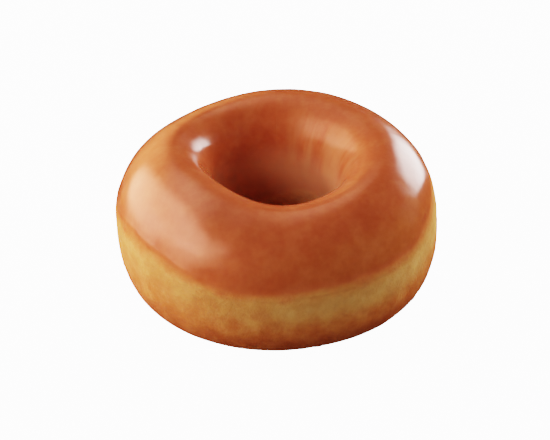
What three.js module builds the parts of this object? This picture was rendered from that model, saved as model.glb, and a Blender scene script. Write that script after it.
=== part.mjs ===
// Ring doughnut, yeast raised and glazed: one solid ring of dough, in millimetres.
// +Z is up, the origin is under the middle of the hole on the surface that it rests on,
// and angles are in degrees, counted from the front (-Y) towards the right (+X).
import * as THREE from "three";

// Sizes round the ring, as means
const OUTER_RADIUS = 44.5;
const HOLE_RADIUS = 16.2;
const HEIGHT = 39.5;

// The section, as shares of the ring's width and height
const CROWN_AT = 0.425; // the highest point, from the hole's wall to the outer side
const EQUATOR_AT = 0.55; // the height of the widest point
const WAIST_AT = 0.51; // the height of the hole's narrowest point
const REST_FROM = 0.3; // the flat stretch that the ring rests on
const REST_TO = 0.54;

// How square each quarter of the section is: 2 is an ellipse
const SHOULDER = 1.73; // crown to equator
const FLANK = 3.35; // equator to the rest
const LIP = 2.2; // crown to waist
const INNER_FOOT = 2.2; // waist to the rest

// Unevenness of the hand-cut ring: share of the size, number of lobes, and where a lobe peaks
const RADIUS_LOBES = [
  { share: 0.026, lobes: 1, peak: 21 },
  { share: 0.02, lobes: 2, peak: -73 },
  { share: 0.007, lobes: 3, peak: 53 },
  { share: 0.005, lobes: 4, peak: -29 },
];
const HOLE_LOBES = [
  { share: 0.019, lobes: 1, peak: -136 },
  { share: 0.066, lobes: 2, peak: 72 },
];
const HEIGHT_LOBES = [
  { share: 0.005, lobes: 1, peak: -26 },
  { share: 0.026, lobes: 2, peak: -68 },
  { share: 0.022, lobes: 3, peak: 60 },
];

// The side is flattened at the pale line, most on the right and not at all on the left
const PINCH_DEPTH = 0.5;
const PINCH_AT = 0.625; // share of the local height
const PINCH_REACH = 8.5;
const PINCH_LOBES = [{ share: 1, lobes: 1, peak: 105 }];

const STEPS_AROUND = 96;
const STEPS_OVER = 48;
const QUARTER_STEPS = 48;

// One quarter of the section, from the point on its side to the point on its top or foot.
function quarter(side, cap, squareness) {
  const points = [];
  for (let i = 0; i <= QUARTER_STEPS; i++) {
    const turn = (Math.PI / 2) * (i / QUARTER_STEPS);
    const out = Math.cos(turn) ** (2 / squareness);
    const up = Math.sin(turn) ** (2 / squareness);
    points.push(
      new THREE.Vector2(cap.x + (side.x - cap.x) * out, side.y + (cap.y - side.y) * up),
    );
  }
  return points;
}

// The closed section of a ring with no lobes, evenly spaced, going up the outer side and down the hole.
function section() {
  const across = (share) => HOLE_RADIUS + (OUTER_RADIUS - HOLE_RADIUS) * share;
  const equator = new THREE.Vector2(OUTER_RADIUS, HEIGHT * EQUATOR_AT);
  const waist = new THREE.Vector2(HOLE_RADIUS, HEIGHT * WAIST_AT);
  const crown = new THREE.Vector2(across(CROWN_AT), HEIGHT);
  const restOut = new THREE.Vector2(across(REST_TO), 0);
  const restIn = new THREE.Vector2(across(REST_FROM), 0);
  const outline = new THREE.CurvePath();
  const corners = [
    ...quarter(equator, restOut, FLANK).reverse(),
    ...quarter(equator, crown, SHOULDER).slice(1),
    ...quarter(waist, crown, LIP).reverse().slice(1),
    ...quarter(waist, restIn, INNER_FOOT).slice(1),
    restOut,
  ];
  for (let i = 1; i < corners.length; i++) {
    outline.add(new THREE.LineCurve(corners[i - 1], corners[i]));
  }
  return outline.getSpacedPoints(STEPS_OVER);
}

function uneven(lobes, angle) {
  let factor = 1;
  for (const { share, lobes: count, peak } of lobes) {
    factor += share * Math.cos(count * (angle - THREE.MathUtils.degToRad(peak)));
  }
  return factor;
}

// Moves a point of the even ring to its place on the uneven one.
function settle(angle, radius, height) {
  const outer = OUTER_RADIUS * uneven(RADIUS_LOBES, angle);
  const hole = HOLE_RADIUS * uneven(HOLE_LOBES, angle);
  const tall = HEIGHT * uneven(HEIGHT_LOBES, angle);
  const across = (radius - HOLE_RADIUS) / (OUTER_RADIUS - HOLE_RADIUS);
  const level = height / HEIGHT;
  const fromLine = ((level - PINCH_AT) * tall) / PINCH_REACH;
  const onSide = THREE.MathUtils.smoothstep(across, 0.7, 1);
  const pinch = PINCH_DEPTH * uneven(PINCH_LOBES, angle) * Math.exp(-fromLine * fromLine) * onSide;
  return { radius: hole + (outer - hole) * across - pinch, height: level * tall };
}

function doughRing() {
  const ring = new THREE.LatheGeometry(section(), STEPS_AROUND);
  ring.rotateX(Math.PI / 2);
  const place = ring.getAttribute("position");
  for (let i = 0; i < place.count; i++) {
    const x = place.getX(i);
    const y = place.getY(i);
    const angle = Math.atan2(x, -y);
    const moved = settle(angle, Math.hypot(x, y), place.getZ(i));
    place.setXYZ(i, moved.radius * Math.sin(angle), -moved.radius * Math.cos(angle), moved.height);
  }
  ring.computeBoundingBox();
  const middle = ring.boundingBox.getCenter(new THREE.Vector3());
  ring.translate(-middle.x, -middle.y, -ring.boundingBox.min.z);
  ring.computeVertexNormals();
  return ring;
}

const crust = new THREE.MeshStandardMaterial({ color: 0xb5642f, roughness: 0.35, metalness: 0 });

const doughnut = new THREE.Group();
const dough = new THREE.Mesh(doughRing(), crust);
dough.name = "doughnut";
doughnut.add(dough);

export default doughnut;
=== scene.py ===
# Ring doughnut: the crust, the glaze and the light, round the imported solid. Metres, +Z up.
# Angles round the ring are in degrees, counted from the front (-Y) towards the right (+X).
import math

import bpy
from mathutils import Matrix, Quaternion, Vector


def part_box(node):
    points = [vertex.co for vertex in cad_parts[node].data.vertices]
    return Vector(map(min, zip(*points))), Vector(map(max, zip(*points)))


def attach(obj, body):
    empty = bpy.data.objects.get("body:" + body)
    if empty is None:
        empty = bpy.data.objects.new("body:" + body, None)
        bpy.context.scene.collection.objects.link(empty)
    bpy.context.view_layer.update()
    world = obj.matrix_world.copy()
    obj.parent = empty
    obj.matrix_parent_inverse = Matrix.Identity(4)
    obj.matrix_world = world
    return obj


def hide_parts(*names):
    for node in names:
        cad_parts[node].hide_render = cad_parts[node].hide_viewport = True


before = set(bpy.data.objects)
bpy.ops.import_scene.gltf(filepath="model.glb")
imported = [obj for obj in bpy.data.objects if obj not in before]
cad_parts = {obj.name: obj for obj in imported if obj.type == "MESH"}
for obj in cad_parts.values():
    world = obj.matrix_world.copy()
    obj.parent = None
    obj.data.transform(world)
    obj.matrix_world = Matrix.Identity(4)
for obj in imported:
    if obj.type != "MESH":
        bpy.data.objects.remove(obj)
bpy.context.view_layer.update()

MM = 0.001

# Sizes round the ring, as means
OUTER_RADIUS = 44.5 * MM
HOLE_RADIUS = 16.2 * MM
HEIGHT = 39.5 * MM

# The section, as shares of the ring's width and height
CROWN_AT = 0.425  # the highest point, from the hole's wall to the outer side
EQUATOR_AT = 0.55  # the height of the widest point
WAIST_AT = 0.51  # the height of the hole's narrowest point
REST_FROM = 0.3  # the flat stretch that the ring rests on
REST_TO = 0.54

# How square each quarter of the section is: 2 is an ellipse
SHOULDER = 1.73  # crown to equator
FLANK = 3.35  # equator to the rest
LIP = 2.2  # crown to waist
INNER_FOOT = 2.2  # waist to the rest

# Unevenness of the hand-cut ring: share of the size, number of lobes, and where a lobe peaks
RADIUS_LOBES = ((0.026, 1, 21), (0.02, 2, -73), (0.007, 3, 53), (0.005, 4, -29))
HOLE_LOBES = ((0.019, 1, -136), (0.066, 2, 72))
HEIGHT_LOBES = ((0.005, 1, -26), (0.026, 2, -68), (0.022, 3, 60))
PINCH_LOBES = ((1.0, 1, 105),)  # the flattened side is mostly on the right

# The lower edge of the glaze, as a share of the local height, on the side and in the hole
GLAZE_ON_SIDE = 0.683
GLAZE_ON_SIDE_LOBES = ((0.064, 1, 118), (0.033, 2, -67), (0.036, 3, -30), (0.018, 4, 21), (0.025, 5, 19))
GLAZE_IN_HOLE = 0.3
GLAZE_IN_HOLE_LOBES = ((0.4, 2, 138),)

# How far the glaze's lower edge wanders, as a share of the height, and the size of its waves
GLAZE_WANDER = 0.035
GLAZE_WAVE = 7 * MM

# Noises in the crust's colour and grain: the size of their blobs, and where each noise starts
STREAKS = (3.2 * MM, 20.0)
MOTTLE = (6 * MM, 21.0)
SPECKLE = (1.6 * MM, 25.0)
BLOTCH = (11 * MM, 27.0)
PORES = (0.7 * MM, 31.0)

# The streaks are upright: the ring's whole height runs through this much of their noise
STREAK_CLIMB = 5 * MM

# Noises in the relief start this far on from the shape's seed
DENT_SEED = 5.0
RIPPLE_SEED = 9.0
BUBBLE_SEED = 13.0
BUBBLE_SIZE = 3.2 * MM

STEPS_AROUND = 440
STEPS_OVER = 220
QUARTER_STEPS = 240


# Node trees

class Term:
    """A number in a node tree, with arithmetic that adds Math nodes."""

    def __init__(self, tree, socket):
        self.tree = tree
        self.socket = socket

    def math(self, operation, *others):
        node = self.tree.nodes.new("ShaderNodeMath")
        node.operation = operation
        for socket, value in zip(node.inputs, (self, *others)):
            feed(self.tree, socket, value)
        return Term(self.tree, node.outputs[0])

    def __add__(self, other):
        return self.math("ADD", other)

    def __sub__(self, other):
        return self.math("SUBTRACT", other)

    def __mul__(self, other):
        return self.math("MULTIPLY", other)

    def __truediv__(self, other):
        return self.math("DIVIDE", other)

    def __rtruediv__(self, other):
        return self.math("POWER", -1.0) * other

    def between(self, low, high):
        """0 at low, 1 at high, with soft ends."""
        node = self.tree.nodes.new("ShaderNodeMapRange")
        node.interpolation_type = "SMOOTHSTEP"
        feed(self.tree, node.inputs["Value"], self)
        feed(self.tree, node.inputs["From Min"], low)
        feed(self.tree, node.inputs["From Max"], high)
        return Term(self.tree, node.outputs["Result"])

    def bell(self, middle, reach):
        """1 at middle, falling off to both sides over reach."""
        away = (self - middle) / reach
        return (away * away * -1.0).math("EXPONENT")

    def nearness(self, degrees):
        """For an angle round the ring: 1 at the direction given, -1 on the far side."""
        return (self - math.radians(degrees)).math("COSINE")

    def towards(self, other, share):
        """This number blended with another one."""
        node = self.tree.nodes.new("ShaderNodeMix")
        feed(self.tree, node.inputs[0], share)
        feed(self.tree, node.inputs[2], self)
        feed(self.tree, node.inputs[3], other)
        return Term(self.tree, node.outputs[0])


def feed(tree, socket, value):
    """Joins a term or a socket to a socket, or sets a plain value."""
    if isinstance(value, Term):
        value = value.socket
    if isinstance(value, bpy.types.NodeSocket):
        tree.links.new(value, socket)
    else:
        socket.default_value = value


def add(tree, kind, inputs=None, **settings):
    node = tree.nodes.new(kind)
    for name, value in settings.items():
        setattr(node, name, value)
    for name, value in (inputs or {}).items():
        feed(tree, node.inputs[name], value)
    return node


def noise(tree, place, size, seed, detail=2.0, roughness=0.5):
    """Soft noise about 0.5, with blobs of that size in metres."""
    node = add(
        tree,
        "ShaderNodeTexNoise",
        {"Vector": place, "W": seed, "Scale": 1.0 / size, "Detail": detail, "Roughness": roughness},
        noise_dimensions="4D",
    )
    return Term(tree, node.outputs[0])


def split(tree, vector):
    node = add(tree, "ShaderNodeSeparateXYZ", {0: vector})
    return [Term(tree, socket) for socket in node.outputs]


def join(tree, x, y, z):
    return add(tree, "ShaderNodeCombineXYZ", {0: x, 1: y, 2: z}).outputs[0]


# Dough

def quarter(side, cap, squareness):
    """One quarter of the section, from the point on its side to the point on its top or foot."""
    points = []
    for i in range(QUARTER_STEPS + 1):
        turn = math.pi / 2 * i / QUARTER_STEPS
        out = max(math.cos(turn), 0.0) ** (2 / squareness)
        up = math.sin(turn) ** (2 / squareness)
        points.append((cap[0] + (side[0] - cap[0]) * out, side[1] + (cap[1] - side[1]) * up))
    return points


def section():
    """The closed section of a ring with no lobes, evenly spaced, going up the outer side."""
    def across(share):
        return HOLE_RADIUS + (OUTER_RADIUS - HOLE_RADIUS) * share

    equator = (OUTER_RADIUS, HEIGHT * EQUATOR_AT)
    waist = (HOLE_RADIUS, HEIGHT * WAIST_AT)
    crown = (across(CROWN_AT), HEIGHT)
    rest_out = (across(REST_TO), 0.0)
    rest_in = (across(REST_FROM), 0.0)
    corners = quarter(equator, rest_out, FLANK)[::-1]
    corners += quarter(equator, crown, SHOULDER)[1:]
    corners += quarter(waist, crown, LIP)[::-1][1:]
    corners += quarter(waist, rest_in, INNER_FOOT)[1:]
    corners.append(rest_out)
    return evenly_spaced(corners, STEPS_OVER)


def evenly_spaced(corners, count):
    """Count points, equally far apart along a closed line."""
    reached = [0.0]
    for start, end in zip(corners, corners[1:]):
        reached.append(reached[-1] + math.dist(start, end))
    points = []
    edge = 0
    for i in range(count):
        goal = reached[-1] * i / count
        while reached[edge + 1] < goal:
            edge += 1
        share = (goal - reached[edge]) / (reached[edge + 1] - reached[edge])
        start, end = corners[edge], corners[edge + 1]
        points.append([a + (b - a) * share for a, b in zip(start, end)])
    return points


def even_ring():
    """A closed ring of revolution: the dough before it is made uneven."""
    outline = section()
    vertices = []
    faces = []
    for i in range(STEPS_AROUND):
        angle = math.tau * i / STEPS_AROUND
        for radius, z in outline:
            vertices.append((radius * math.sin(angle), -radius * math.cos(angle), z))
        here = i * STEPS_OVER
        after = (i + 1) % STEPS_AROUND * STEPS_OVER
        for j in range(STEPS_OVER):
            k = (j + 1) % STEPS_OVER
            faces.append((here + j, after + j, after + k, here + k))
    mesh = bpy.data.meshes.new("dough")
    mesh.from_pydata(vertices, [], faces)
    mesh.polygons.foreach_set("use_smooth", [True] * len(faces))
    mesh.update()
    return mesh


def uneven(tree, lobes, angle):
    """1, with a few lobes round the ring."""
    factor = Term(tree, add(tree, "ShaderNodeValue").outputs[0])
    factor.socket.default_value = 1.0
    for share, count, peak in lobes:
        factor = factor + ((angle - math.radians(peak)) * float(count)).math("COSINE") * share
    return factor


def attribute(tree, name):
    node = add(tree, "GeometryNodeInputNamedAttribute", {"Name": name}, data_type="FLOAT")
    return Term(tree, node.outputs[0])


def store(tree, geometry, name, value):
    node = add(
        tree,
        "GeometryNodeStoreNamedAttribute",
        {"Geometry": geometry, "Name": name, "Value": value},
        data_type="FLOAT",
        domain="POINT",
    )
    return node.outputs[0]


# Sizes of the tree that shapes the ring, with their values
SHAPE_INPUTS = {
    "Outer Radius": OUTER_RADIUS,
    "Hole Radius": HOLE_RADIUS,
    "Height": HEIGHT,
    "Pinch Depth": 0.5 * MM,
    "Pinch At": 0.625,
    "Pinch Reach": 8.5 * MM,
    "Dent Depth": 0.35 * MM,
    "Dent Size": 17 * MM,
    "Ripple Depth": 0.05 * MM,
    "Ripple Size": 5 * MM,
    "Glaze Bead": 0.07 * MM,
    "Blister Height": 0.2 * MM,
    "Lip Tilt": 0.5 * MM,
    "Wrinkle Depth": 0.06 * MM,
    "Ridge Height": 0.14 * MM,
    "Seed": 3.0,
}


def streaked(tree, angle, level):
    """Noise drawn out into upright streaks, about 0.5."""
    place = join(
        tree, angle.math("SINE") * HOLE_RADIUS, angle.math("COSINE") * HOLE_RADIUS, level * STREAK_CLIMB
    )
    return noise(tree, place, *STREAKS, detail=3.0)


def settled(tree, angle, across, level, size):
    """Where a point of the even ring goes on the uneven one."""
    outer = uneven(tree, RADIUS_LOBES, angle) * size["Outer Radius"]
    hole = uneven(tree, HOLE_LOBES, angle) * size["Hole Radius"]
    tall = uneven(tree, HEIGHT_LOBES, angle) * size["Height"]
    pinch = ((level - size["Pinch At"]) * tall).bell(0.0, size["Pinch Reach"])
    pinch = pinch * across.between(0.7, 1.0) * size["Pinch Depth"] * uneven(tree, PINCH_LOBES, angle)
    moved = hole + (outer - hole) * across - pinch
    return join(tree, moved * angle.math("SINE"), moved * angle.math("COSINE") * -1.0, level * tall)


def above_glaze_edge(tree, place, angle, across, level, seed):
    """Height above the glaze's lower edge, as a share of the ring's height."""
    wander = noise(tree, place, GLAZE_WAVE, seed, detail=2.0) - 0.5
    on_side = uneven(tree, GLAZE_ON_SIDE_LOBES, angle) * GLAZE_ON_SIDE
    in_hole = uneven(tree, GLAZE_IN_HOLE_LOBES, angle) * GLAZE_IN_HOLE
    edge = in_hole.towards(on_side, across.between(0.25, 0.6)) + wander * GLAZE_WANDER
    return level - edge


def uneven_skin(tree, place, angle, across, level, glazed, size):
    """How far the crust and the glaze stand out from the smooth ring."""
    seed = size["Seed"]
    dents = noise(tree, place, size["Dent Size"], seed + DENT_SEED) - 0.5
    dents = dents * size["Dent Depth"] * 2.0
    ripples = noise(tree, place, size["Ripple Size"], seed + RIPPLE_SEED) - 0.5
    ripples = ripples * size["Ripple Depth"] * 2.0
    bead = (glazed - 0.012).bell(0.0, 0.018) * size["Glaze Bead"]

    # Blisters in the bare crust, low on the side
    bubbles = noise(tree, place, BUBBLE_SIZE, seed + BUBBLE_SEED, detail=1.0).between(0.62, 0.8)
    blisters = bubbles * glazed.between(-0.12, -0.3) * size["Blister Height"]

    # Wrinkles in the glaze, on the hole's wall at the back right and on the right side
    wrinkles = (streaked(tree, angle, level) - 0.5) * 2.0 * size["Wrinkle Depth"]
    on_wall = across.between(0.3, 0.12) * angle.bell(math.radians(132), 0.75) * level.between(0.45, 0.65)
    at_side = across.between(0.75, 0.95) * angle.bell(math.radians(76), 0.4) * level.bell(0.68, 0.09) * 0.6

    # Two fine ridges along the front of the crown
    ridges = across.bell(0.335, 0.022) + across.bell(0.39, 0.02) * 0.7
    ridges = ridges * angle.bell(math.radians(22), 0.6) * level.between(0.9, 0.95)

    # The lip of the hole leans a little at the left
    tilt = (level.bell(0.82, 0.09) - level.bell(0.985, 0.06)) * across.between(0.42, 0.3)
    tilt = tilt * angle.bell(math.radians(-99), 0.32) * size["Lip Tilt"]

    relief = dents + ripples + bead + blisters + tilt + wrinkles * (on_wall + at_side)
    resting = level.between(0.0, 0.05)
    return (relief + ridges * size["Ridge Height"]) * resting


def shape_tree(material):
    """Makes an even ring uneven, marks its bands and adds the crust's relief."""
    tree = bpy.data.node_groups.new("uneven ring", "GeometryNodeTree")
    face = tree.interface
    face.new_socket("Geometry", in_out="INPUT", socket_type="NodeSocketGeometry")
    for name, value in SHAPE_INPUTS.items():
        face.new_socket(name, in_out="INPUT", socket_type="NodeSocketFloat").default_value = value
    face.new_socket("Geometry", in_out="OUTPUT", socket_type="NodeSocketGeometry")
    given = add(tree, "NodeGroupInput").outputs
    size = {name: Term(tree, given[name]) for name in SHAPE_INPUTS}

    # The place on the even ring is kept on the mesh, because the shape changes further on
    place = add(tree, "GeometryNodeInputPosition").outputs[0]
    x, y, z = split(tree, place)
    radius = (x * x + y * y).math("SQRT")
    across = (radius - size["Hole Radius"]) / (size["Outer Radius"] - size["Hole Radius"])
    geometry = store(tree, given["Geometry"], "angle", x.math("ARCTAN2", y * -1.0))
    geometry = store(tree, geometry, "across", across)
    geometry = store(tree, geometry, "level", z / size["Height"])
    where = [attribute(tree, name) for name in ("angle", "across", "level")]

    geometry = add(
        tree, "GeometryNodeSetPosition", {"Geometry": geometry, "Position": settled(tree, *where, size)}
    ).outputs[0]
    geometry = store(tree, geometry, "glazed", above_glaze_edge(tree, place, *where, size["Seed"]))
    relief = uneven_skin(tree, place, *where, attribute(tree, "glazed"), size)
    push = add(
        tree,
        "ShaderNodeVectorMath",
        {"Vector": add(tree, "GeometryNodeInputNormal").outputs[0], "Scale": relief},
        operation="SCALE",
    )
    geometry = add(
        tree, "GeometryNodeSetPosition", {"Geometry": geometry, "Offset": push.outputs[0]}
    ).outputs[0]

    geometry = add(tree, "GeometryNodeRealizeInstances", {"Geometry": geometry}).outputs[0]
    geometry = add(
        tree, "GeometryNodeSetMaterial", {"Geometry": geometry, "Material": material}
    ).outputs[0]
    feed(tree, add(tree, "NodeGroupOutput").inputs[0], geometry)
    return tree


def shaped(mesh, tree):
    """The mesh that the tree makes of an even ring."""
    blank = bpy.data.objects.new("blank", mesh)
    bpy.context.collection.objects.link(blank)
    modifier = blank.modifiers.new("uneven ring", "NODES")
    modifier.node_group = tree
    for socket in tree.interface.items_tree:
        if socket.in_out == "INPUT" and socket.name in SHAPE_INPUTS:
            modifier[socket.identifier] = SHAPE_INPUTS[socket.name]
    depsgraph = bpy.context.evaluated_depsgraph_get()
    result = bpy.data.meshes.new_from_object(blank.evaluated_get(depsgraph))
    bpy.data.objects.remove(blank)
    return result


def fit_to_box(mesh, low, high):
    """Moves and trims the mesh to a box: it is within a hair of it already."""
    corners = [[pick(v.co[axis] for v in mesh.vertices) for axis in range(3)] for pick in (min, max)]
    scale = [(b - a) / (d - c) for a, b, c, d in zip(low, high, *corners)]
    for vertex in mesh.vertices:
        vertex.co = [a + (p - c) * s for a, p, c, s in zip(low, vertex.co, corners[0], scale)]
    mesh.update()


# Finishes

# Crust colours from the underside up to the crown.
# Each goes with a height above the glaze's edge, as a share of the ring's height.
CRUST = (
    (-0.68, (0.22, 0.042, 0.012)),
    (-0.45, (0.34, 0.078, 0.024)),
    (-0.35, (0.41, 0.107, 0.03)),
    (-0.25, (0.45, 0.138, 0.04)),
    (-0.16, (0.47, 0.165, 0.046)),
    (-0.075, (0.48, 0.172, 0.049)),
    (-0.035, (0.45, 0.125, 0.036)),
    (0.0, (0.38, 0.075, 0.024)),
    (0.04, (0.34, 0.062, 0.0215)),
    (0.3, (0.33, 0.062, 0.022)),
)

# Tints that lie over the crust's colours in places; some are painted shade, painted light and painted
# sheen
PALE_GOLD = (0.5, 0.24, 0.075, 1.0)
AMBER = (0.37, 0.085, 0.024, 1.0)
# Painted shade on the underside at the front right
PAINTED_SHADE_FOOT = (0.12, 0.028, 0.014, 1.0)
DARK_CREASE = (0.36, 0.115, 0.035, 1.0)
DARK_SPOT = (0.27, 0.04, 0.016, 1.0)
# Painted sheen in streaks on the hole's wall
PAINTED_SHEEN_STREAK = (0.5, 0.16, 0.06, 1.0)
# Painted light low in the hole
PAINTED_LIGHT_IN_HOLE = (0.62, 0.23, 0.11, 1.0)

# Uneven baking multiplies the colour, from the first of each pair to the second
PATCHES = ((0.92, 0.86, 0.84, 1.0), (1.06, 1.12, 1.12, 1.0))
GRAIN = ((0.94, 0.92, 0.9, 1.0), (1.04, 1.05, 1.05, 1.0))

# Gloss of the bare crust, and what the glaze changes in it
BARE_ROUGHNESS = 0.52
GLAZE_ROUGHNESS_LESS = 0.2
BARE_COAT = 0.05
GLAZE_COAT_MORE = 0.95
FAR_SLOPE_DULLED = 0.72

BLACK = (0.0, 0.0, 0.0, 1.0)


def ramp(tree, value, stops):
    """A colour that follows a value, with stops at the values given."""
    low, high = stops[0][0], stops[-1][0]
    node = add(tree, "ShaderNodeValToRGB", {"Fac": (value - low) / (high - low)})
    points = node.color_ramp.elements
    points.remove(points[1])
    for i, (at, colour) in enumerate(stops):
        point = points[0] if i == 0 else points.new((at - low) / (high - low))
        point.position = (at - low) / (high - low)
        point.color = (*colour, 1.0)
    return node.outputs[0]


def blend(tree, share, first, second, kind="MIX"):
    node = add(tree, "ShaderNodeMix", data_type="RGBA", blend_type=kind)
    feed(tree, node.inputs[0], share)
    feed(tree, node.inputs[6], first)
    feed(tree, node.inputs[7], second)
    return node.outputs[2]


def new_material(name):
    material = bpy.data.materials.new(name)
    material.use_nodes = True
    return material, material.node_tree, material.node_tree.nodes["Principled BSDF"]


def kept_number(tree, name):
    """A number that the shape tree kept on the mesh."""
    return Term(tree, add(tree, "ShaderNodeAttribute", attribute_name=name).outputs["Fac"])


def baked_colour(tree, place, glazed, angle, across, level, speckle):
    """The crust's colour: pale round the side, red-brown under the glaze, brown underneath, with painted
    shade, light and sheen in places.
    """
    mottle = noise(tree, place, *MOTTLE, detail=3.0)
    blotch = noise(tree, place, *BLOTCH, detail=2.0)
    below = glazed.between(0.0, -0.06)
    stirred = ((mottle - 0.5) * 0.26 + (blotch - 0.5) * 0.22) * below
    colour = ramp(tree, glazed + stirred, CRUST)

    # Paler gold and amber glaze towards the front right, and painted shade darkening the foot there
    right = angle.nearness(50).between(0.3, 0.95)
    pale = glazed.bell(-0.16, 0.11) * right
    colour = blend(tree, pale * 0.8, colour, PALE_GOLD)
    amber = glazed.between(0.0, 0.05) * glazed.between(0.3, 0.15) * angle.bell(math.radians(42), 0.7)
    colour = blend(tree, amber * 0.8, colour, AMBER)
    # Painted shade: the foot darker towards the front right, where shadow falls
    foot = glazed.between(-0.3, -0.6) * right
    colour = blend(tree, foot * 0.45, colour, PAINTED_SHADE_FOOT)

    # A darker crease under the glaze's edge, and dark spots just above it
    crease = glazed.bell(-0.06, 0.011) * angle.bell(math.radians(18), 0.6)
    colour = blend(tree, crease * 0.35, colour, DARK_CREASE)
    spots = mottle.between(0.5, 0.62) * glazed.bell(0.045, 0.035) * angle.bell(math.radians(74), 0.35)
    colour = blend(tree, spots * 0.8, colour, DARK_SPOT)

    patches = blend(tree, mottle.between(0.35, 0.7), *PATCHES)
    colour = blend(tree, 1.0, colour, patches, "MULTIPLY")
    grain = blend(tree, speckle.between(0.3, 0.7), *GRAIN)
    colour = blend(tree, 1.0, colour, grain, "MULTIPLY")

    # Pale streaks down the hole's wall at the back right, painted sheen; and painted light that makes the
    # crust low in the hole warmer and lighter
    streaks = streaked(tree, angle, level).between(0.35, 0.65) * across.between(0.3, 0.1)
    streaks = streaks * angle.nearness(125).between(0.55, 0.95) * level.between(0.45, 0.7)
    # Painted sheen: the streaks lighten the wall along its wrinkles
    colour = blend(tree, streaks * 0.4, colour, PAINTED_SHEEN_STREAK)
    # Painted light: the crust low in the hole is lightened to stand in for light reaching in there
    lit_in_hole = across.between(0.14, 0.0) * level.between(0.8, 0.5)
    return blend(tree, lit_in_hole * 0.6, colour, PAINTED_LIGHT_IN_HOLE)


def fried_crust():
    material, tree, shader = new_material("fried crust")
    place = add(tree, "ShaderNodeTexCoord").outputs["Object"]
    glazed, angle, across, level = [
        kept_number(tree, name) for name in ("glazed", "angle", "across", "level")
    ]
    speckle = noise(tree, place, *SPECKLE, detail=3.0, roughness=0.6)
    colour = baked_colour(tree, place, glazed, angle, across, level, speckle)
    feed(tree, shader.inputs["Base Color"], colour)

    # Thin glaze, thinnest on the slope into the hole at the back right
    far_slope = across.between(0.45, 0.3) * angle.nearness(135).between(0.0, 0.7)
    under_glaze = glazed.between(-0.01, 0.02) * (far_slope * -FAR_SLOPE_DULLED + 1.0)
    feed(tree, shader.inputs["Roughness"], under_glaze * -GLAZE_ROUGHNESS_LESS + BARE_ROUGHNESS)
    feed(tree, shader.inputs["Coat Weight"], under_glaze * GLAZE_COAT_MORE + BARE_COAT)
    shader.inputs["Coat Roughness"].default_value = 0.16
    shader.inputs["Coat IOR"].default_value = 1.42
    shader.inputs["Specular IOR Level"].default_value = 0.0
    shader.inputs["Subsurface Weight"].default_value = 0.15
    shader.inputs["Subsurface Radius"].default_value = (1.0, 0.4, 0.15)
    shader.inputs["Subsurface Scale"].default_value = 3 * MM

    pores = noise(tree, place, *PORES, detail=2.0)
    rough = (speckle * 0.5 + pores * 0.5) * glazed.between(0.02, -0.05)
    bump = add(tree, "ShaderNodeBump", {"Height": rough, "Distance": 0.25 * MM})
    feed(tree, shader.inputs["Normal"], bump.outputs[0])
    return material


FLOOR_GLOW = 8.0


def pale_floor():
    """Paper that glows for the camera alone: it looks white, and its glow lights nothing."""
    material, tree, shader = new_material("pale floor")
    shader.inputs["Base Color"].default_value = (0.35, 0.35, 0.35, 1.0)
    shader.inputs["Roughness"].default_value = 0.9
    shader.inputs["Specular IOR Level"].default_value = 0.0
    shader.inputs["Emission Strength"].default_value = FLOOR_GLOW
    feed(tree, shader.inputs["Emission Color"], add(tree, "ShaderNodeLightPath").outputs["Is Camera Ray"])
    return material


# The doughnut

ring = shaped(even_ring(), shape_tree(fried_crust()))
fit_to_box(ring, *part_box("doughnut"))
doughnut = bpy.data.objects.new("glazed_doughnut", ring)
bpy.context.collection.objects.link(doughnut)
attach(doughnut, "root")
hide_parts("doughnut")


# Floor, light and camera

FLOOR_HALF = 3.0


def make_floor():
    corners = [(x * FLOOR_HALF, y * FLOOR_HALF, 0.0) for x, y in ((-1, -1), (1, -1), (1, 1), (-1, 1))]
    mesh = bpy.data.meshes.new("floor")
    mesh.from_pydata(corners, [], [(0, 1, 2, 3)])
    mesh.materials.append(pale_floor())
    floor = bpy.data.objects.new("floor", mesh)
    bpy.context.collection.objects.link(floor)
    floor.visible_glossy = False


# How far windows and panels stand from the doughnut, the width of a panel, and how soft a window's sill is
PANEL_DISTANCE = 0.6
PANEL_SIZE = 0.3
SILL_EDGE = 0.03

# Oval windows that the glaze mirrors. An oval is cut off at its sill: -1 is its foot, 0 its middle.
# Angle round the ring, elevation, turn, half width, half height, sill, softness, colour
WINDOWS = {
    "left window": (-93, 29, 32, 1.04, 0.36, -1, 0.6, (17.0, 7.0, 4.3)),
    "low left window": (-52, 20, 34, 0.34, 0.17, -1, 0.7, (12.0, 5.0, 3.0)),
    "left haze": (-128, 14, 10, 0.8, 0.5, -1, 1.0, (7.5, 2.2, 0.7)),
    "right window": (137, 10, -48, 0.32, 0.24, -0.62, 0.6, (15.0, 13.8, 13.4)),
    "back haze": (-128, 62, 10, 0.66, 0.36, -1, 1.0, (6.0, 3.0, 2.1)),
}

# Panels that light the crust: angle round the ring, elevation, brightness
LIGHTS = {
    "left light": (-62, 35, 10.7),
    "low left light": (-95, 12, 32.0),
    "back right light": (150, 15, 20.0),
    "right light": (110, 15, 14.5),
    "front right light": (60, 20, 1.5),
}
SKY_BRIGHTNESS = 0.26


def direction(azimuth, elevation):
    """A unit vector towards an angle round the ring and a height above the floor."""
    turn, lift = math.radians(azimuth), math.radians(elevation)
    return Vector((math.sin(turn) * math.cos(lift), -math.cos(turn) * math.cos(lift), math.sin(lift)))


def facing(azimuth, elevation, turn=0.0):
    """Where a panel stands, and how it is turned, to face the doughnut."""
    towards = direction(azimuth, elevation)
    place = towards * PANEL_DISTANCE + Vector((0, 0, HEIGHT / 2))
    return place, towards.to_track_quat("Z", "Y") @ Quaternion((0, 0, 1), math.radians(turn))


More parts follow.
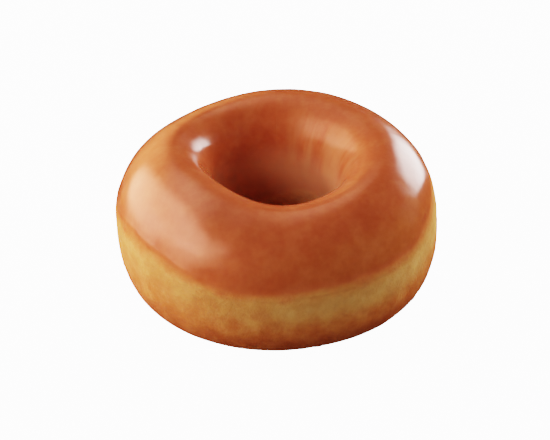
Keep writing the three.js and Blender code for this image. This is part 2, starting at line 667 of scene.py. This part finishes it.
def bright_window(sill, softness, colour):
    """An oval glow that fades towards its edge and hides nothing behind it."""
    material, tree, shader = new_material("bright window")
    tree.nodes.remove(shader)
    u, v, _ = split(tree, add(tree, "ShaderNodeUVMap").outputs[0])
    outwards = (u * u + v * v).math("SQRT")
    glow = outwards.between(1.0, 1.0 - softness) * v.between(sill - SILL_EDGE, sill + SILL_EDGE)
    strength = max(colour)
    tint = (*[part / strength for part in colour], 1.0)
    lit = blend(tree, glow, BLACK, tint)
    emission = add(tree, "ShaderNodeEmission", {"Color": lit, "Strength": strength})
    clear = add(tree, "ShaderNodeBsdfTransparent")
    both = add(tree, "ShaderNodeAddShader", {0: emission.outputs[0], 1: clear.outputs[0]})
    feed(tree, tree.nodes["Material Output"].inputs["Surface"], both.outputs[0])
    return material


def make_window(name, azimuth, elevation, turn, half_width, half_height, sill, softness, colour):
    """A soft window that only the glaze sees."""
    place, turned = facing(azimuth, elevation, turn)
    ends = ((-1, -1), (1, -1), (1, 1), (-1, 1))
    mesh = bpy.data.meshes.new(name)
    corners = [place + turned @ Vector((x * half_width, y * half_height, 0.0)) for x, y in ends]
    mesh.from_pydata(corners, [], [(0, 1, 2, 3)])
    for corner, end in zip(mesh.uv_layers.new().data, ends):
        corner.uv = end
    mesh.materials.append(bright_window(sill, softness, colour))
    window = bpy.data.objects.new(name, mesh)
    window.visible_camera = False
    window.visible_diffuse = False
    window.visible_transmission = False
    window.visible_shadow = False
    bpy.context.collection.objects.link(window)


def make_light(name, azimuth, elevation, brightness):
    """A soft panel that lights the crust and isn't mirrored in the glaze."""
    light = bpy.data.lights.new(name, "AREA")
    light.size = PANEL_SIZE
    light.energy = brightness * math.pi * PANEL_SIZE**2
    panel = bpy.data.objects.new(name, light)
    panel.location, turned = facing(azimuth, elevation)
    panel.rotation_euler = turned.to_euler()
    panel.visible_glossy = False
    bpy.context.collection.objects.link(panel)


def make_world(brightness):
    world = bpy.data.worlds.new("studio")
    world.use_nodes = True
    background = world.node_tree.nodes["Background"]
    background.inputs["Color"].default_value = (1.0, 1.0, 1.0, 1.0)
    background.inputs["Strength"].default_value = brightness
    bpy.context.scene.world = world
    world.cycles_visibility.glossy = False


# The camera looks past the middle of the even ring, which isn't quite the middle of the uneven one's box
RING_MIDDLE = Vector((-0.14 * MM, 0.79 * MM, HEIGHT / 2))
CAMERA_RISE = 38.0
CAMERA_DISTANCE = 366.3 * MM
AIM_RIGHT = -0.56 * MM
AIM_BELOW = 4.03 * MM
LENS = 85.1


def make_camera():
    camera = bpy.data.objects.new("camera", bpy.data.cameras.new("camera"))
    camera.data.lens = LENS
    camera.data.clip_start = 0.01
    towards = direction(0.0, CAMERA_RISE)
    turn = towards.to_track_quat("Z", "Y")
    right = turn @ Vector((1, 0, 0))
    up = turn @ Vector((0, 1, 0))
    camera.rotation_euler = turn.to_euler()
    camera.location = RING_MIDDLE + towards * CAMERA_DISTANCE + right * AIM_RIGHT - up * AIM_BELOW
    bpy.context.collection.objects.link(camera)
    bpy.context.scene.camera = camera


make_floor()
for name, window in WINDOWS.items():
    make_window(name, *window)
for name, light in LIGHTS.items():
    make_light(name, *light)
make_world(SKY_BRIGHTNESS)
make_camera()
bpy.context.scene.view_settings.view_transform = "Filmic"
bpy.context.scene.view_settings.look = "Medium High Contrast"
